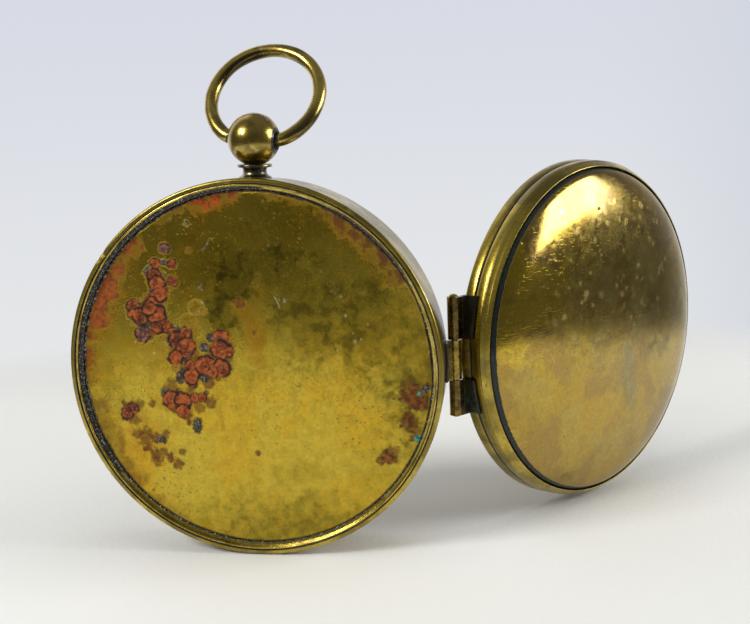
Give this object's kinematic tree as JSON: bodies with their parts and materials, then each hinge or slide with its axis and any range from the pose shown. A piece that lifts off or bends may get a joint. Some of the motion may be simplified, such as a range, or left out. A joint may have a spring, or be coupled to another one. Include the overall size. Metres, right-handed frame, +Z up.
{
  "type": "pocket astrolabe",
  "caption": "Pocket astrolabe in a round brass drum case, with latitude plates, a turning star map and sighting rule, a hinged domed lid and a hanging ring on a ball.",
  "frame": {"origin": "centre of the back plate's outer face, on the drum's axis", "axes": "+Y along the drum's axis from the plain back to the instrument face, +Z up to the hanging ring, +X to the lid's hinge"},
  "size_m": [0.1333, 0.0784, 0.1071],
  "materials": {
    "case_brass": "aged, softly polished",
    "back_brass": "aged, satin, with hairline scratches and spots of red-brown corrosion",
    "rim_brass": "worn bright on the edge",
    "plate_brass": "engraved, satin",
    "rete_brass": "worn satin",
    "rule_brass": "worn satin",
    "dark_brass": "tarnished",
    "pin_steel": "dull, grey-brown",
    "bow_brass": "aged, polished by handling",
    "lid_brass": "aged, softly polished, mottled"
  },
  "bodies": {
    "case": {"case_wall": "case_brass", "back_plate": "back_brass", "back_bezel": "rim_brass", "front_bezel": "case_brass", "mater_plate": "plate_brass", "limb_ring": "plate_brass", "limb_rivets": "dark_brass", "tympan_1": "plate_brass", "tympan_2": "plate_brass", "tympan_3": "plate_brass", "centre_pin": "pin_steel", "pin_washer": "rule_brass", "pendant_neck": "case_brass", "pendant_nut": "dark_brass", "hinge_case_leaf": "case_brass"},
    "star_map": {"rete": "rete_brass"},
    "sight_rule": {"rule": "rule_brass", "vane_pins": "pin_steel"},
    "vane_1": {"sight_vane_1": "rule_brass"},
    "vane_2": {"sight_vane_2": "rule_brass"},
    "wedge": {"horse_wedge": "dark_brass"},
    "swivel": {"bow_ball": "bow_brass", "swivel_washer": "dark_brass"},
    "bow": {"bow_ring": "bow_brass"},
    "lid": {"lid_band": "lid_brass", "lid_bezel": "lid_brass", "lid_dome": "lid_brass", "hinge_lid_leaf": "lid_brass", "hinge_pin": "pin_steel"}
  },
  "joints": [
    {"name": "lid_hinge", "type": "hinge", "parent": "case", "child": "lid", "pos_m": [0.04065, 0.01295, 0], "axis": [0, 0, -1], "range_deg": [-126.7, 53.3]},
    {"name": "bow_swivel", "type": "hinge", "parent": "case", "child": "swivel", "pos_m": [0.00104, 0.0057, 0.04244], "axis": [0.0244, 0, 0.9997], "continuous": true},
    {"name": "bow_pivot", "type": "hinge", "parent": "swivel", "child": "bow", "pos_m": [0.00116, 0.0057, 0.04745], "axis": [0.9914, -0.0974, -0.087], "range_deg": [-75.4, 144.6]},
    {"name": "rete_turn", "type": "hinge", "parent": "case", "child": "star_map", "pos_m": [0, 0.006, 0], "axis": [0, 1, 0], "continuous": true},
    {"name": "rule_turn", "type": "hinge", "parent": "case", "child": "sight_rule", "pos_m": [0, 0.00735, 0], "axis": [0, 1, 0], "continuous": true},
    {"name": "vane_1_fold", "type": "hinge", "parent": "sight_rule", "child": "vane_1", "pos_m": [0.02035, 0.00875, 0.01272], "axis": [0.5299, 0, -0.848], "range_deg": [0, 90]},
    {"name": "vane_2_fold", "type": "hinge", "parent": "sight_rule", "child": "vane_2", "pos_m": [-0.02035, 0.00875, -0.01272], "axis": [-0.5299, 0, 0.848], "range_deg": [0, 90]},
    {"name": "wedge_slide", "type": "slide", "parent": "case", "child": "wedge", "axis": [0.7071, 0, -0.7071], "range_m": [0, 0.007]}
  ]
}
